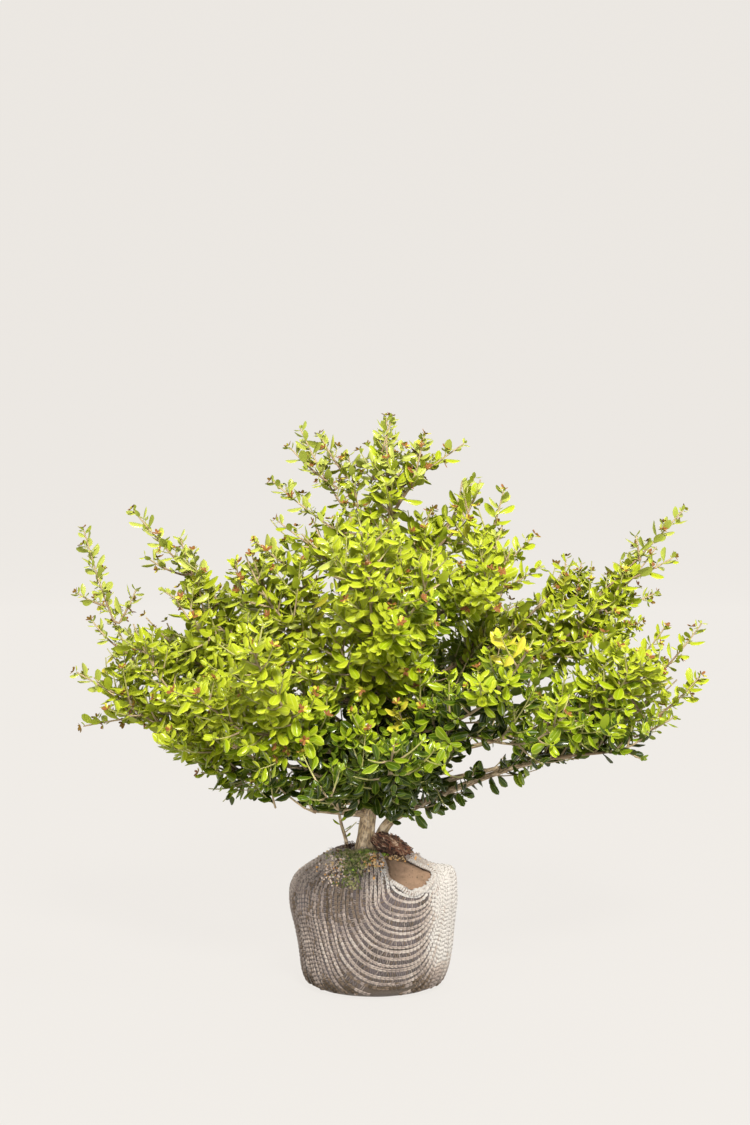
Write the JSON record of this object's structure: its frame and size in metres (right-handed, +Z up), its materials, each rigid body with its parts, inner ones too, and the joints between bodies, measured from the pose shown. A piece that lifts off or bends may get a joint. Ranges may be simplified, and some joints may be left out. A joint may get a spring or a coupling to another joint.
{
  "type": "japanese holly shrub on a wrapped root ball",
  "caption": "Low spreading evergreen shrub with small convex glossy leaves, on a root ball in a knitted wrap that is torn open beside the trunk.",
  "frame": {"origin": "middle of the flat underside of the root ball", "axes": "+Z up along the trunk, +X to the viewer's right along the crown's longest spread, -Y towards the viewer of the picture"},
  "size_m": [0.7211, 0.5809, 0.6422],
  "materials": {
    "knitted_wrap": "soiled beige knit",
    "clay_soil": "dull packed clay",
    "bark_mulch": "dull and fibrous",
    "moss": "soft and tufted",
    "bark": "dull with fine ridges",
    "foliage": "glossy leaves"
  },
  "bodies": {
    "root": {"root_wrap": "knitted_wrap", "root_soil": "clay_soil", "bark_mulch": "bark_mulch", "moss": "moss", "trunk": "bark", "second_stem": "bark", "sucker": "bark", "bough_left_low": "bark", "bough_left_middle": "bark", "bough_left_outer": "bark", "bough_left_upper": "bark", "bough_left_under": "bark", "bough_shoulder_left": "bark", "bough_crest_left": "bark", "bough_crest_right": "bark", "bough_shoulder_right": "bark", "bough_right_inner": "bark", "bough_right_upper": "bark", "bough_right_outer": "bark", "bough_right_low": "bark", "bough_front_left": "bark", "bough_front_low": "bark", "bough_front_right": "bark", "bough_front_high": "bark", "bough_back_left": "bark", "bough_back_low": "bark", "bough_back_right": "bark", "bough_back_high": "bark", "foliage_left_low": "foliage", "foliage_left_middle": "foliage", "foliage_left_outer": "foliage", "foliage_left_upper": "foliage", "foliage_left_under": "foliage", "foliage_shoulder_left": "foliage", "foliage_crest_left": "foliage", "foliage_crest_right": "foliage", "foliage_crest_middle": "foliage", "foliage_shoulder_right": "foliage", "foliage_right_inner": "foliage", "foliage_right_upper": "foliage", "foliage_right_outer": "foliage", "foliage_right_low": "foliage", "foliage_right_under": "foliage", "foliage_front_left": "foliage", "foliage_front_low": "foliage", "foliage_front_right": "foliage", "foliage_front_high": "foliage", "foliage_back_left": "foliage", "foliage_back_low": "foliage", "foliage_back_right": "foliage", "foliage_back_high": "foliage", "foliage_inner_left": "foliage", "foliage_inner_right": "foliage", "foliage_inner_back": "foliage", "foliage_inner_high": "foliage"}
  },
  "joints": []
}
